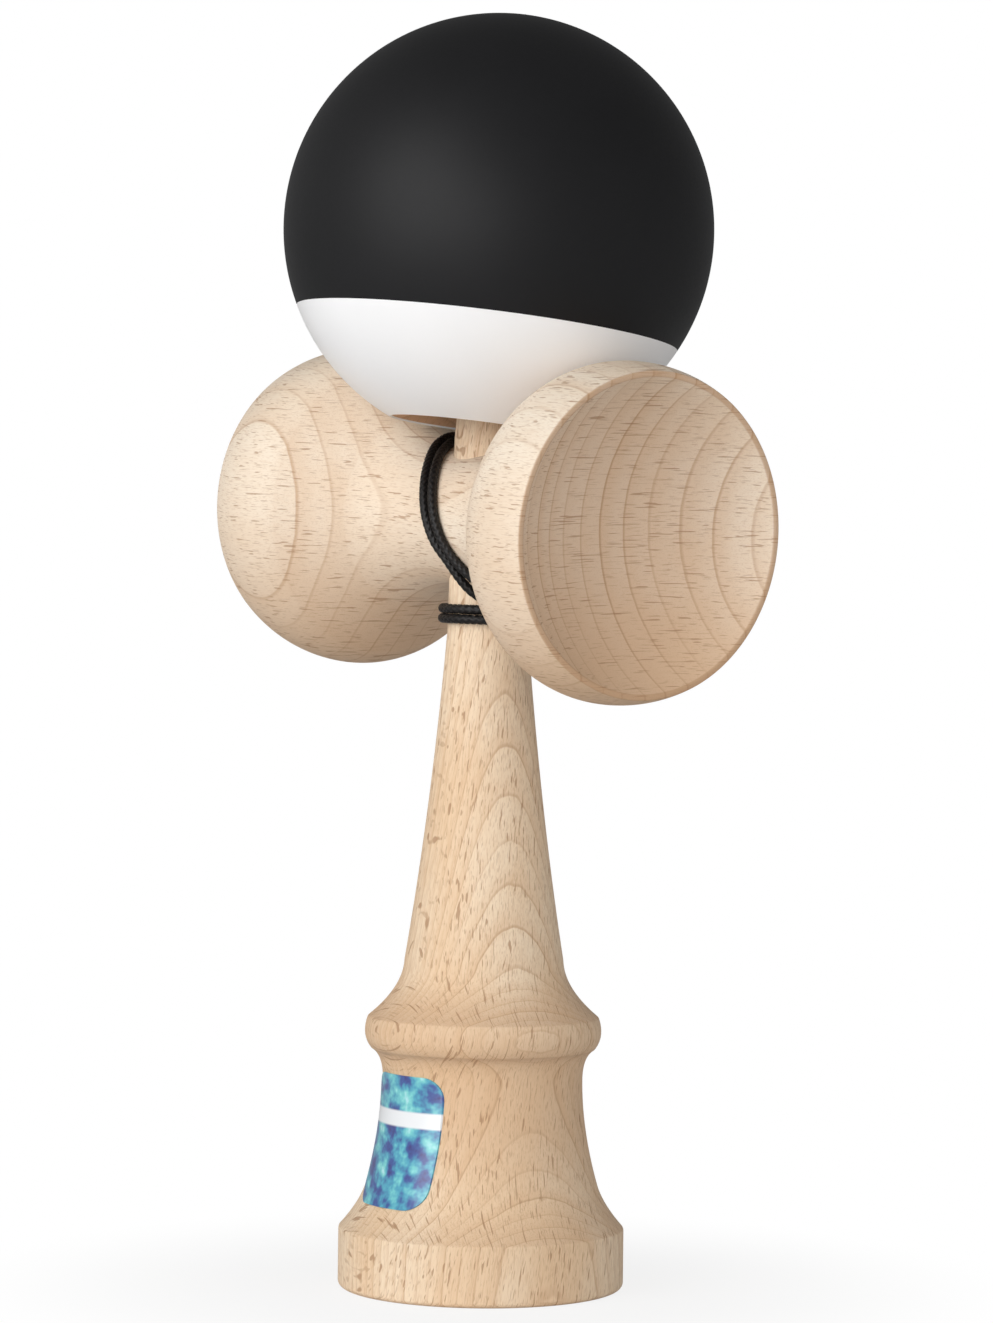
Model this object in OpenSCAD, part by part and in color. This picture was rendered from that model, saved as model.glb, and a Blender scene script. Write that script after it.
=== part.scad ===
// Kendama: a turned stick with three cups and a spike, and a holed ball tied on by a string.
// Millimetres, +Z up along the stick, origin at the middle of the ring that it stands on.
// The crosspiece lies along X, its deeper-set cup towards +X, and the label faces -Y.

/* [Stick] */
// Radius of the straight band round the base
base_r = 20; // [18:0.5:23]
// Height of the straight band round the base
band_h = 8.3; // [6:0.1:10]
// Rounding of the band's lower edge
base_edge = 0.9; // [0.4:0.1:1.5]
// Width of the flat ring that the stick stands on
base_rim_w = 1.3; // [0.8:0.1:2]
// Depth of the cup under the base
base_cup_depth = 6.5; // [4:0.1:7.5]
// Radius where the slope above the band meets the neck
ledge_r = 16.2; // [15:0.1:17.5]
// Height of that meeting line
ledge_z = 14.5; // [12:0.1:17]
// Least radius of the neck
neck_r = 14; // [12.5:0.1:15]
// Height of the least radius of the neck
neck_z = 29; // [26:0.1:30]
// Radius of the collar at its upper crease
collar_r = 16.2; // [15.5:0.1:18]
// Height of the collar's upper crease
collar_z = 37.8; // [36.5:0.1:39.5]
// Height of the collar's rounded bead
collar_h = 4.4; // [3.5:0.1:5.5]
// Radius of the grip just above the collar
grip_r = 11.15; // [10:0.05:12.5]
// Height where the grip starts its taper
grip_z = 45.8; // [44:0.1:48]
// Radius of the stick at the low end of the crosspiece's seat
seat_r = 5.65; // [5.2:0.05:6.2]
// Height of the low end of the seat
seat_z = 92; // [88:0.5:92.5]
// Length of the tapered seat
seat_len = 27; // [25:0.5:30]
// Drop in radius along the seat
seat_taper = 0.7; // [0.4:0.05:1]
// Length of the spike above the ball's middle
spike_len = 10.4; // [8:0.1:12]
// Radius of the spike's rounded tip
spike_tip_r = 1.5; // [1:0.1:2]

/* [Crosspiece] */
// Height of the crosspiece's middle on the stick
cross_z = 107.6; // [106.5:0.1:109]
// Lean of the crosspiece out of square, cup at +X down, in degrees
cross_lean = 5; // [0:0.5:5]
// Half of the crosspiece's length
cross_half = 37; // [35.5:0.5:40]
// Radius of each cup's rim, outside
cup_rim_r = 21.9; // [20:0.1:23]
// Width of the flat rim round each cup
cup_rim_w = 0.7; // [0.5:0.1:2]
// Depth of each cup
cup_depth = 11.8; // [9:0.1:13]
// How far the cup's outside swells past its rim
cup_swell = 1.2; // [0.6:0.1:1.8]
// Distance of the widest place from the rim
cup_swell_back = 6.3; // [5:0.1:8]
// Rounding of each cup's shoulder
shoulder_r = 12; // [10:0.5:14]
// Radius of the waist
waist_r = 9.6; // [9:0.1:10.5]
// Half of the waist's straight length
waist_half = 4; // [2:0.5:6]
// Clearance of the crosspiece's bore round the stick
bore_gap = 0.05; // [0.02:0.01:0.1]

/* [Ball] */
// Radius of the ball over its paint
ball_r = 30; // [28:0.5:33]
// Thickness of the paint
paint_t = 0.3; // [0.2:0.05:0.6]
// Height of the line between the two colours above the edge of the mouth
paint_line = 13.8; // [6:0.1:20]
// Radius of the hole for the spike
hole_r = 10.2; // [10:0.1:11]
// Radius of the hole's bevelled mouth
mouth_r = 12; // [11.5:0.1:13]
// Lean of the ball on the spike, in degrees
ball_lean = 6.3; // [4:0.1:7]
// Direction of that lean, in degrees from +X towards +Y
ball_lean_dir = 57; // [45:1:65]
// Shift of the ball's middle towards +Y
ball_shift = -1.4; // [-1.8:0.1:-0.8]
// Gap between the ball and the shoulders that it sits on
seat_gap = 0.3; // [0.2:0.05:0.5]
// Room in the hole above the spike's tip
tip_room = 7.8; // [7.5:0.1:9]
// Radius of the hole for the string at the ball's top
top_hole_r = 1.9; // [1.5:0.1:2.1]
// Radius of the countersink round that hole
top_sink_r = 4.3; // [4:0.1:5]
// Radius of the stop bead inside the ball
bead_r = 2.75; // [2.5:0.05:3]

/* [String] */
// Diameter of the string
string_d = 1.2; // [1.1:0.05:1.4]
// Gap between the string and what it lies on
string_gap = 0.15; // [0.1:0.01:0.2]
// Gap between the string and the ball
ball_gap = 0.2; // [0.15:0.05:0.4]
// Bend of the string over the ball's top, to its middle
top_bend_r = 4.2; // [2.8:0.1:4.4]
// Clearance round the string in a hole
string_room = 0.35; // [0.25:0.05:0.5]
// Radius of the knots at the string's ends
knot_r = 1.5; // [1.4:0.05:1.6]
// Step from one turn to the next on the waist
turn_step = 2.2; // [1.9:0.05:2.6]
// Step from one turn to the next on the stick
wrap_step = 1.65; // [1.45:0.05:2]
// Height of the upper turn on the stick where it crosses the front
wrap_z = 94.9; // [94.5:0.1:95]

/* [Label] */
// Width of the label
label_w = 15; // [10:0.5:18]
// Height of the label
label_h = 18; // [10:0.5:18]
// Rounding of the label's corners
label_corner = 3; // [1:0.5:4]
// Height of the label's middle
label_z = 21.3; // [20.5:0.1:22]
// Thickness of the label
label_t = 0.2; // [0.15:0.05:0.3]

/* [Hidden] */
$fn = 96;

// Gap between films and what they cover, and the reach of a cut past a face
film_gap = 0.02;
cut = 1;

// Stick: heights that follow from the sizes above
root_z = seat_z + seat_len;
root_r = seat_r - seat_taper;
base_cup_r = base_r - base_edge - base_rim_w;
seat_slope = seat_taper / seat_len;

// Crosspiece: arcs of its outside, each tangent to the next, along s from its middle
swell_r = cup_rim_r + cup_swell;
swell_s = cross_half - cup_swell_back;
shoulder_c = [swell_r - shoulder_r, swell_s];
flare_run = swell_s - waist_half;
flare_rise = waist_r - shoulder_c[0];
flare_r = (flare_run ^ 2 + flare_rise ^ 2 - shoulder_r ^ 2) / (2 * (shoulder_r - flare_rise));
flare_c = [waist_r + flare_r, waist_half];
flare_end = atan2(shoulder_c[1] - flare_c[1], flare_c[0] - shoulder_c[0]);
rim_arc_r = (cup_swell_back ^ 2 + cup_swell ^ 2) / (2 * cup_swell);
rim_arc_end = asin(cup_swell_back / rim_arc_r);

// Ball: it sits on both shoulders, square to the crosspiece, or else on the waist with its mouth's edge
mouth_w = -sqrt(ball_r ^ 2 - mouth_r ^ 2);
mouth_drop = mouth_r * sin(ball_lean) - mouth_w * cos(ball_lean);
waist_rise = waist_at(mouth_r) + seat_gap + mouth_drop;
shoulder_rise = shoulder_c[0] + sqrt(max((ball_r + shoulder_r + seat_gap) ^ 2 - swell_s ^ 2, 0));
ball_rise = max(shoulder_rise, waist_rise);
ball_c = [ball_rise * sin(cross_lean), ball_shift, cross_z + ball_rise * cos(cross_lean)];
line_w = mouth_w + paint_line;
tip_z = ball_c[2] + spike_len;
hole_top = spike_len / cos(ball_lean) + tip_room;
sink_depth = top_sink_r - top_hole_r;
string_r = string_d / 2;
bead_w = hole_top - sqrt((bead_r + seat_gap) ^ 2 - top_hole_r ^ 2);
bead_knot_w = bead_w - bead_r - knot_r;

// String: how far its middle lies from a surface, and where its stretches meet
lay = string_r + string_gap;
bore_r = string_r + string_room;
knot_flat = 0.6 * knot_r;
ken_knot_y = -2.4;
leave_y = waist_r + 0.3;

// Where a turn round the waist crosses its top, front, underside and back, along s
turn_top = -9.3;
turn_front = 0.3;
turn_under = 8.7;
turn_back = -turn_step;
// How far the front of a turn bows towards the spike above and the stick below
turn_sway = 2;
// First and last angle of the turns round the waist and round the stick
turn_from = 350;
turn_to = 845;
wrap_from = -30;
wrap_to = 738;
turn_mid = (turn_top + turn_front + turn_under + turn_back) / 4;
turn_twice = (turn_top + turn_under - turn_front - turn_back) / 4;
turn_steps = 24;
// Bend of the string where it leaves the crosspiece, and how gently it then joins the first turn
leave_bend_r = 2.7;
leave_reach = 3;
first_reach = 4;

// Where the winding hands over to the run, and the run's way up to the ball
hand_over = [4.5, 11.5, 99];
hand_dir = [0, 0.3, 1];
run_points = [[4.5, 13.4, 105], [4.5, 15.5, 112], [4.5, 18, 119], [4.3, 21, 125]];
// The run's way up the ball's back, as angles from the top and from +X towards +Y
run_turns = [[127, 90], [112, 91], [98, 93.5], [85, 95], [69, 97], [54, 100.5], [41, 105.5], [29.5, 111.5],
    [20, 116.5]];
// Direction in which the run leaves the hole at the ball's top
top_way = 144;

function unit(v) = v / norm(v);
function bend(a, b, c, n = 10) =
    [for (i = [0:n]) let (t = i / n) (1 - t) ^ 2 * a + 2 * t * (1 - t) * b + t ^ 2 * c];
function swing(a, b, c, d, n = 10) =
    [for (i = [0:n]) let (t = i / n, u = 1 - t)
        u ^ 3 * a + 3 * u ^ 2 * t * b + 3 * u * t ^ 2 * c + t ^ 3 * d];
function arc(c, r, from, to, n = 10) =
    [for (i = [0:n]) let (a = from + (to - from) * i / n) c + r * [cos(a), sin(a)]];
function but_first(p) = [for (i = [1:len(p) - 1]) p[i]];
function but_last(p) = [for (i = [0:len(p) - 2]) p[i]];

// Points of a cup's bowl in (radius, height above its rim plane), from the middle outwards
function bowl(r, depth, n = 14) =
    let (ball = (r ^ 2 + depth ^ 2) / (2 * depth), a = asin(r / ball))
    [for (i = [0:n]) ball * [sin(a * i / n), cos(a * i / n) - cos(a)]];

// Stick's outline in (radius, height)
neck_turn = neck_z - ledge_z;
bead_low_z = collar_z - collar_h;
bead_low_r = collar_r - 0.5;
ken_outline = concat(
    bowl(base_cup_r, base_cup_depth),
    arc([base_r - base_edge, base_edge], base_edge, -90, 0, 6),
    bend([base_r, band_h], [ledge_r + 0.75, ledge_z - 2.8], [ledge_r, ledge_z]),
    but_first(bend([ledge_r, ledge_z], [neck_r, ledge_z + 0.53 * neck_turn], [neck_r, neck_z])),
    but_first(bend([neck_r, neck_z], [neck_r, bead_low_z - 1], [bead_low_r, bead_low_z], 8)),
    but_first(bend([bead_low_r, bead_low_z], [collar_r + 0.95, collar_z - 2.6], [collar_r, collar_z], 8)),
    but_first(bend([collar_r, collar_z], [grip_r + 0.15, (collar_z + grip_z) / 2], [grip_r, grip_z])),
    but_first(bend([grip_r, grip_z], [(grip_r + seat_r) / 2 - 0.75, 0.54 * grip_z + 0.46 * seat_z],
        [seat_r, seat_z], 12)),
    [[root_r, root_z]],
    arc([0, tip_z - spike_tip_r], spike_tip_r, 5, 90, 6)
);

// Half of the crosspiece's outline in (radius, s), from the cup's middle to the waist
half_outline = concat(
    [for (p = bowl(cup_rim_r - cup_rim_w, cup_depth)) [p[0], cross_half - p[1]]],
    arc([swell_r - rim_arc_r, swell_s], rim_arc_r, rim_arc_end, 0, 8),
    but_first(arc(shoulder_c, shoulder_r, 0, flare_end - 90 - 0.01, 10)),
    arc(flare_c, flare_r, 90 + flare_end, 180, 12)
);
cross_outline = concat(half_outline, [for (i = [len(half_outline) - 1:-1:0])
    [half_outline[i][0], -half_outline[i][1]]]);

// Radius of the stick on its seat, and of the crosspiece about its waist
function seat_at(z) = seat_r - seat_slope * (z - seat_z);
function waist_at(s) = let (d = max(abs(s) - waist_half, 0)) waist_r + flare_r - sqrt(flare_r ^ 2 - d ^ 2);

// From crosspiece and ball coordinates to the part's own
function on_cross(s, y, h) =
    [s * cos(cross_lean) + h * sin(cross_lean), y, cross_z - s * sin(cross_lean) + h * cos(cross_lean)];
ball_axis = [sin(ball_lean) * cos(ball_lean_dir), sin(ball_lean) * sin(ball_lean_dir), cos(ball_lean)];
function on_axis(w) = ball_c + w * ball_axis;

// The run lies on the ball and bends over its top into the hole
run_r = ball_r + ball_gap + string_r;
function on_ball(a) = ball_c + run_r * [sin(a[0]) * cos(a[1]), sin(a[0]) * sin(a[1]), cos(a[0])];
bend_w = sqrt((run_r - top_bend_r) ^ 2 - top_bend_r ^ 2);
bend_end = acos(top_bend_r / (run_r - top_bend_r));
tie_w = bend_w - string_d;
flat_way = [cos(top_way), sin(top_way), 0];
back_way = unit(flat_way - (flat_way * ball_axis) * ball_axis);
function over_top(a) = on_axis(bend_w + top_bend_r * sin(a)) + top_bend_r * (1 + cos(a)) * back_way;

// Turns round the waist: the angle runs from the top to the front, the underside and the back
function turn_s(a) = turn_mid + (turn_top - turn_under) / 2 * cos(a) + (turn_front - turn_back) / 2 * sin(a)
    + turn_twice * cos(2 * a) + turn_sway * sin(2 * a) * (1 + sin(a)) / 2 - turn_step * (a - 630) / 360;
function turn_at(a) = let (s = turn_s(a), q = waist_at(s) + lay) on_cross(s, -q * sin(a), q * cos(a));
// Turns round the stick, which sink as the angle grows
function wrap_at(a) = let (z = wrap_z - wrap_step * (a - 270) / 360, q = seat_at(z) + lay)
    [q * cos(a), q * sin(a), z];
function along(a, b) = unit(b - a);

turns = [for (a = [turn_from:360 / turn_steps:turn_to]) turn_at(a)];
wraps = [for (a = [wrap_from:360 / turn_steps:wrap_to]) wrap_at(a)];
turns_in = along(turns[0], turns[1]);
turns_out = along(turns[len(turns) - 2], turns[len(turns) - 1]);
wraps_in = along(wraps[0], wraps[1]);
wraps_out = along(wraps[len(wraps) - 2], wraps[len(wraps) - 1]);
start = [0, leave_y, cross_z];
straight = [0, string_d, 0];
leave = start + straight;
leave_side = unit([turns[0][0] - leave[0], 0, turns[0][2] - leave[2]]);
leave_out = [0, leave_bend_r, 0];
leave_up = leave_bend_r * leave_side;
loop = leave + leave_out + leave_up;
hand_up = unit(hand_dir);
hand_in = hand_over - string_d * hand_up;
winding = concat(
    [start],
    but_last(swing(leave, leave + 0.55 * leave_out, loop - 0.55 * leave_up, loop, 5)),
    but_last(swing(loop, loop + leave_reach * leave_side, turns[0] - first_reach * turns_in, turns[0], 8)),
    turns,
    but_last(but_first(swing(turns[len(turns) - 1], turns[len(turns) - 1] + 3 * turns_out,
        wraps[0] - 3 * wraps_in, wraps[0], 6))),
    but_last(wraps),
    swing(wraps[len(wraps) - 1], wraps[len(wraps) - 1] + 4.5 * wraps_out, hand_in - 5 * hand_up, hand_in, 8),
    [hand_over]
);

// The run's route with its ends, and a smooth curve through it
run_route = concat(
    [hand_over, hand_over + string_d * hand_up],
    run_points,
    [for (a = run_turns) on_ball(a)],
    [for (i = [0:3]) over_top(bend_end + (180 - bend_end) * i / 3)],
    [on_axis(tie_w)]
);
function between(p0, p1, p2, p3, t) = 0.5 * (2 * p1 + (p2 - p0) * t
    + (2 * p0 - 5 * p1 + 4 * p2 - p3) * t ^ 2 + (3 * p1 - p0 - 3 * p2 + p3) * t ^ 3);
run_path = concat(
    [hand_over],
    [for (i = [1:len(run_route) - 3]) for (t = [0, 0.5])
        between(run_route[i - 1], run_route[i], run_route[i + 1], run_route[i + 2], t)],
    [on_axis(tie_w + string_d), on_axis(tie_w)]
);

// Least distance between stretches of one path that lie apart along it
function to_leg(p, a, b) =
    let (l = b - a, t = max(0, min(1, (p - a) * l / (l * l)))) norm(p - a - t * l);
function self_gap(p, skip, d) = min([for (i = [0:len(p) - 1]) for (j = [i + skip:len(p) - 2])
    to_leg(p[i], p[j], p[j + 1])]) - d;
function path_length(p) =
    let (legs = [for (i = [1:len(p) - 1]) norm(p[i] - p[i - 1])]) legs * [for (l = legs) 1];
echo(winding_self_gap = self_gap(winding, 6, string_d));
echo(winding_length = path_length(winding), run_length = path_length(run_path));

// A round tube along a path, its rings carried on without twist
function carry(v, t) = unit(v - (v * t) * t);
module tube(path, r, sides) {
    n = len(path);
    way = [for (i = [0:n - 1]) unit(path[min(i + 1, n - 1)] - path[max(i - 1, 0)])];
    aside = abs(way[0][2]) < 0.9 ? [0, 0, 1] : [1, 0, 0];
    out = [for (i = 0, v = carry(aside, way[0]); i < n; i = i + 1, v = carry(v, way[min(i, n - 1)])) v];
    points = [for (i = [0:n - 1]) for (k = [0:sides - 1]) let (a = 360 * k / sides)
        path[i] + r * (cos(a) * out[i] + sin(a) * cross(way[i], out[i]))];
    walls = [for (i = [0:n - 2]) for (k = [0:sides - 1])
        let (a = i * sides + k, b = i * sides + (k + 1) % sides)
        each [[a, a + sides, b], [b, a + sides, b + sides]]];
    first_end = [for (k = [1:sides - 2]) [0, k, k + 1]];
    last_end = [for (k = [1:sides - 2]) let (o = (n - 1) * sides) [o, o + k + 1, o + k]];
    polyhedron(points, concat(walls, first_end, last_end), convexity = 10);
}

module ken() {
    color([0.86, 0.72, 0.55]) difference() {
        rotate_extrude() polygon(ken_outline);
        translate([0, 0, cross_z]) rotate([-90, 0, 0]) cylinder(r = bore_r, h = seat_r + cut);
        translate([0, 0, cross_z]) rotate([90, 0, 0]) cylinder(r = knot_r + string_room, h = seat_r + cut);
    }
}

module sarado() {
    color([0.88, 0.75, 0.58]) difference() {
        translate([0, 0, cross_z]) rotate([0, 90 + cross_lean, 0]) rotate_extrude() polygon(cross_outline);
        bore();
        translate([0, 0, cross_z]) rotate([-90, 0, 0]) cylinder(r = bore_r, h = waist_r + cut);
    }
}

// Tapered way through the crosspiece for the stick
module bore() {
    low = cross_z - waist_r - 2 * cut;
    high = cross_z + waist_r + 2 * cut;
    translate([0, 0, low])
        cylinder(h = high - low, r1 = seat_at(low) + bore_gap, r2 = seat_at(high) + bore_gap);
}

module at_ball() {
    translate(ball_c) rotate([0, ball_lean, ball_lean_dir]) children();
}

// Everything that is drilled out of the ball
module ball_holes() {
    bevel = mouth_r - hole_r;
    flare = ball_r + cut + mouth_w;
    translate([0, 0, -ball_r - cut]) cylinder(r = hole_r, h = ball_r + cut + hole_top);
    translate([0, 0, mouth_w - flare]) cylinder(h = flare + bevel, r1 = mouth_r + flare, r2 = hole_r);
    cylinder(r = top_hole_r, h = ball_r + cut);
    translate([0, 0, ball_r - sink_depth])
        cylinder(h = sink_depth + cut, r1 = top_hole_r, r2 = top_sink_r + cut);
}

module tama_core() {
    color([0.72, 0.55, 0.38]) at_ball() difference() {
        sphere(r = ball_r - paint_t - film_gap);
        ball_holes();
    }
}

// A film of paint between two heights on the ball
module coat(low, high) {
    at_ball() difference() {
        intersection() {
            sphere(r = ball_r);
            translate([0, 0, low]) cylinder(r = ball_r + cut, h = high - low);
        }
        sphere(r = ball_r - paint_t);
        ball_holes();
    }
}

module tama_dark_coat() {
    color([0.12, 0.12, 0.125]) coat(line_w, ball_r + cut);
}

module tama_pale_coat() {
    color([0.93, 0.93, 0.94]) coat(-ball_r - cut, line_w);
}

module bead() {
    color([0.8, 0.62, 0.42]) at_ball() translate([0, 0, bead_w]) difference() {
        sphere(r = bead_r);
        cylinder(r = bore_r, h = 2 * bead_r + cut, center = true);
    }
}

// A knot with a flat where the string leaves it
module knot() {
    intersection() {
        sphere(r = knot_r);
        translate([0, 0, knot_flat - 2 * knot_r]) cylinder(r = 2 * knot_r, h = 2 * knot_r);
    }
}

module bead_knot() {
    color([0.09, 0.09, 0.1]) at_ball() translate([0, 0, bead_knot_w]) knot();
}

module ken_knot() {
    color([0.09, 0.09, 0.1]) translate([0, ken_knot_y, cross_z]) rotate([-90, 0, 0]) knot();
}

module string_in_ken() {
    low = ken_knot_y + knot_flat;
    color([0.09, 0.09, 0.1]) translate([0, low, cross_z]) rotate([-90, 0, 0])
        cylinder(r = string_r, h = leave_y - low);
}

module string_winding() {
    color([0.09, 0.09, 0.1]) tube(winding, string_r, 6);
}

module string_run() {
    color([0.09, 0.09, 0.1]) tube(run_path, string_r, 8);
}

module string_in_tama() {
    low = bead_knot_w + knot_flat;
    color([0.09, 0.09, 0.1]) at_ball() translate([0, 0, low]) cylinder(r = string_r, h = tie_w - low);
}

// The label follows the neck, cut from a film round the stick by a rounded rectangle
module label() {
    color([0.35, 0.55, 0.72]) intersection() {
        rotate_extrude() difference() {
            translate([film_gap + label_t, 0]) polygon(ken_outline);
            translate([film_gap, 0]) polygon(ken_outline);
            square([neck_r / 2, tip_z + cut]);
        }
        translate([0, 0, label_z]) rotate([90, 0, 0]) linear_extrude(base_r + cut) label_face();
    }
}

module label_face() {
    flat_w = label_w - 2 * label_corner;
    flat_h = label_h - 2 * label_corner;
    square([label_w, flat_h], center = true);
    square([flat_w, label_h], center = true);
    for (x = [-1, 1]) for (y = [-1, 1]) translate([x * flat_w / 2, y * flat_h / 2]) circle(r = label_corner);
}

ken();
sarado();
tama_core();
tama_dark_coat();
tama_pale_coat();
bead();
bead_knot();
ken_knot();
string_in_ken();
string_winding();
string_run();
string_in_tama();
label();
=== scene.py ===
import math

import bmesh
import bpy
from mathutils import Matrix, Vector


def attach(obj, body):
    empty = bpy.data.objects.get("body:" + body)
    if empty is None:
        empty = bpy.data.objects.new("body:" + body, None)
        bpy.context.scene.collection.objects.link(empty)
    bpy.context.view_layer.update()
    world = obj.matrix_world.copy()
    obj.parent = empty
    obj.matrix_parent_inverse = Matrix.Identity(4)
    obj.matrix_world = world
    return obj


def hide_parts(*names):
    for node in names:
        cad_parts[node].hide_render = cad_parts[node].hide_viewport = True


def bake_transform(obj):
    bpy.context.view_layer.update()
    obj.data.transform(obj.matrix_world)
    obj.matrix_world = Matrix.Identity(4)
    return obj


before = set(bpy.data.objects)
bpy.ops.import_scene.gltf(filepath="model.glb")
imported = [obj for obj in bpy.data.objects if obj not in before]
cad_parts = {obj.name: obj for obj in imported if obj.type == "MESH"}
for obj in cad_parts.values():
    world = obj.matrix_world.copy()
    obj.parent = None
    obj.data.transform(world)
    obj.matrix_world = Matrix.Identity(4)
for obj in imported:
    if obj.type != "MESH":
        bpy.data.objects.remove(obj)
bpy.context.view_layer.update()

mm = 0.001
tiny = 1e-6
print("frame loaded,", len(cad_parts), "nodes")


# flat curves for the turned outlines, as (radius, height)
def bend(a, b, c, n=24):
    points = []
    for i in range(n + 1):
        t = i / n
        points.append(tuple((1 - t) ** 2 * p + 2 * t * (1 - t) * q + t * t * r for p, q, r in zip(a, b, c)))
    return points


def arc(centre, r, start, end, n=24):
    angles = [math.radians(start + (end - start) * i / n) for i in range(n + 1)]
    return [(centre[0] + r * math.cos(a), centre[1] + r * math.sin(a)) for a in angles]


def bowl(r, depth, n=40):
    big = (r * r + depth * depth) / (2 * depth)
    reach = math.asin(r / big)
    angles = [reach * i / n for i in range(n + 1)]
    return [(big * math.sin(a), big * (math.cos(a) - math.cos(reach))) for a in angles]


def softCorner(before, corner, after, size, n=4):
    corner = Vector(corner)
    toBefore = Vector(before) - corner
    toAfter = Vector(after) - corner
    a = corner + toBefore.normalized() * min(size, toBefore.length / 2)
    c = corner + toAfter.normalized() * min(size, toAfter.length / 2)
    return bend(tuple(a), tuple(corner), tuple(c), n)


def join(*runs):
    # runs that meet share a point, and a number between two runs is how much their corner is eased
    points = []
    ease = 0
    for run in runs:
        if isinstance(run, (int, float)):
            ease = run
            continue
        if ease:
            points[-1:] = softCorner(points[-2], run[0], run[1], ease)
            run = run[1:]
        elif points and (Vector(points[-1]) - Vector(run[0])).length < tiny:
            run = run[1:]
        points += run
        ease = 0
    return points


# the stick in millimetres; Out, In, Drop and Pull place the handles of its curves
stick = dict(
    baseR=20, bandH=8.3, baseEdge=0.9, rimW=1.3, cupDepth=6.5, cupEdge=0.15,
    ledgeR=16.2, ledgeZ=14.5, ledgeOut=0.75, ledgeDrop=2.8, neckR=14, neckZ=29, neckPull=0.53,
    collarR=16.2, collarZ=37.8, collarH=4.4, collarIn=0.5, collarOut=0.95, collarDrop=2.6, collarPull=1,
    gripR=11.15, gripZ=45.8, gripOut=0.15, gripIn=0.75, gripPull=0.46,
    seatR=5.65, seatZ=92, seatLen=27, seatTaper=0.7, tipR=1.5, tipFrom=5,
    softEdge=0.3, boreSpare=1, turns=256)


def stickOutline(s, tipZ):
    floorR = s["baseR"] - s["baseEdge"]
    cupR = floorR - s["rimW"]
    bandTop = (s["baseR"], s["bandH"])
    ledge = (s["ledgeR"], s["ledgeZ"])
    neck = (s["neckR"], s["neckZ"])
    beadLow = (s["collarR"] - s["collarIn"], s["collarZ"] - s["collarH"])
    crease = (s["collarR"], s["collarZ"])
    grip = (s["gripR"], s["gripZ"])
    seat = (s["seatR"], s["seatZ"])
    root = (s["seatR"] - s["seatTaper"], s["seatZ"] + s["seatLen"])
    neckHandle = (s["neckR"], s["ledgeZ"] + s["neckPull"] * (s["neckZ"] - s["ledgeZ"]))
    gripHandle = ((s["gripR"] + s["seatR"]) / 2 - s["gripIn"],
                  (1 - s["gripPull"]) * s["gripZ"] + s["gripPull"] * s["seatZ"])
    return join(
        bowl(cupR, s["cupDepth"]),
        s["cupEdge"],
        [(cupR, 0), (floorR, 0)],
        arc((floorR, s["baseEdge"]), s["baseEdge"], -90, 0, n=10),
        [(s["baseR"], s["baseEdge"]), bandTop],
        s["softEdge"],
        bend(bandTop, (s["ledgeR"] + s["ledgeOut"], s["ledgeZ"] - s["ledgeDrop"]), ledge),
        bend(ledge, neckHandle, neck),
        bend(neck, (s["neckR"], beadLow[1] - s["collarPull"]), beadLow),
        s["softEdge"],
        bend(beadLow, (s["collarR"] + s["collarOut"], s["collarZ"] - s["collarDrop"]), crease),
        s["softEdge"],
        bend(crease, (s["gripR"] + s["gripOut"], (s["collarZ"] + s["gripZ"]) / 2), grip),
        bend(grip, gripHandle, seat, n=40),
        [seat, root],
        arc((0, tipZ - s["tipR"]), s["tipR"], s["tipFrom"], 90, n=10))


def seatAt(z):
    return stick["seatR"] - stick["seatTaper"] / stick["seatLen"] * (z - stick["seatZ"])


# the crosspiece in millimetres, turned about its own axis
crossPiece = dict(
    z=107.6, lean=math.radians(5), half=37, rimR=21.9, rimW=0.7, depth=11.8, swell=1.2, swellBack=6.3,
    shoulderR=12, waistR=9.6, waistHalf=4, boreGap=0.05, boreSpare=2, softEdge=0.22, turns=256)


def crossArcs(c):
    # a shoulder behind each cup's swell, and the flare that runs from it to the waist
    swellR = c["rimR"] + c["swell"]
    shoulder = (swellR - c["shoulderR"], c["half"] - c["swellBack"])
    run = shoulder[1] - c["waistHalf"]
    rise = c["waistR"] - shoulder[0]
    flareR = (run ** 2 + rise ** 2 - c["shoulderR"] ** 2) / (2 * (c["shoulderR"] - rise))
    flare = (c["waistR"] + flareR, c["waistHalf"])
    flareEnd = math.degrees(math.atan2(shoulder[1] - flare[1], flare[0] - shoulder[0]))
    return dict(swellR=swellR, shoulder=shoulder, flareR=flareR, flare=flare, flareEnd=flareEnd)


arcs = crossArcs(crossPiece)


def crossOutline(c, arcs):
    rimArcR = (c["swellBack"] ** 2 + c["swell"] ** 2) / (2 * c["swell"])
    rimArcEnd = math.degrees(math.asin(c["swellBack"] / rimArcR))
    inner = c["rimR"] - c["rimW"]
    half = join(
        [(r, c["half"] - h) for r, h in bowl(inner, c["depth"])],
        c["softEdge"],
        [(inner, c["half"]), (c["rimR"], c["half"])],
        c["softEdge"],
        arc((arcs["swellR"] - rimArcR, arcs["shoulder"][1]), rimArcR, rimArcEnd, 0),
        arc(arcs["shoulder"], c["shoulderR"], 0, arcs["flareEnd"] - 90, n=30),
        arc(arcs["flare"], arcs["flareR"], 90 + arcs["flareEnd"], 180, n=40))
    return half + [(r, -s) for r, s in reversed(half)]


def waistAt(s):
    off = max(abs(s) - crossPiece["waistHalf"], 0)
    return crossPiece["waistR"] + arcs["flareR"] - math.sqrt(arcs["flareR"] ** 2 - off ** 2)


def newPiece(name, data):
    piece = bpy.data.objects.new(name, data)
    bpy.context.scene.collection.objects.link(piece)
    return piece


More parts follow.
